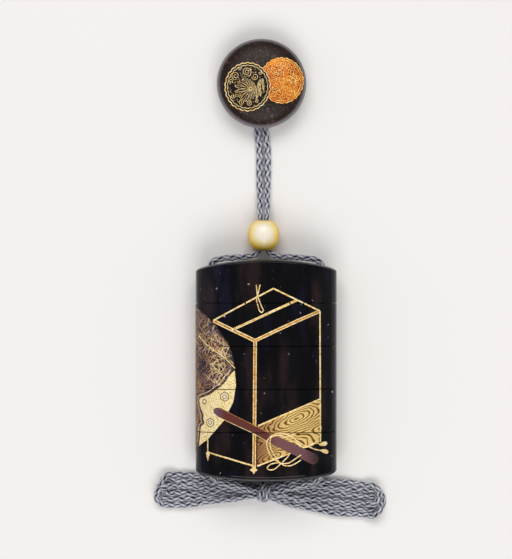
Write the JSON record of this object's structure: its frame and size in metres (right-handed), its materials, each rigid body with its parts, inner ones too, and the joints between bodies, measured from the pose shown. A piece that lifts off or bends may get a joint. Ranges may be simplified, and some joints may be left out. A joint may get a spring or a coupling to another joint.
{
  "type": "inro case",
  "caption": "Lacquered case of nested tiers and a lid, flattened oval in plan, with a silk cord through side channels, a sliding bead and a round button-like toggle.",
  "frame": {"origin": "middle of the flat on the case's back, where it rests on a table", "axes": "+Z out of the case's front, up as it lies; +Y from its base to its lid; +X to the right seen from the front"},
  "size_m": [0.0923, 0.1888, 0.0232],
  "materials": {
    "black_lacquer": "polished black lacquer on wood, with gold powder picture",
    "gold_lacquer": "sprinkled gold powder in lacquer, low relief",
    "brown_black_lacquer": "satin brown-black lacquer on wood, with gold roundels",
    "cream_stone": "polished, slightly translucent",
    "grey_silk": "braided silk cord"
  },
  "bodies": {
    "root": {"lid": "black_lacquer", "tier_1": "black_lacquer", "tier_2": "black_lacquer", "tier_3": "black_lacquer", "base_tier": "black_lacquer", "netsuke": "brown_black_lacquer", "ojime_bead": "cream_stone", "cord_left": "grey_silk", "cord_right": "grey_silk", "bow_knot": "grey_silk", "bow_left": "grey_silk", "bow_right": "grey_silk"}
  },
  "joints": []
}
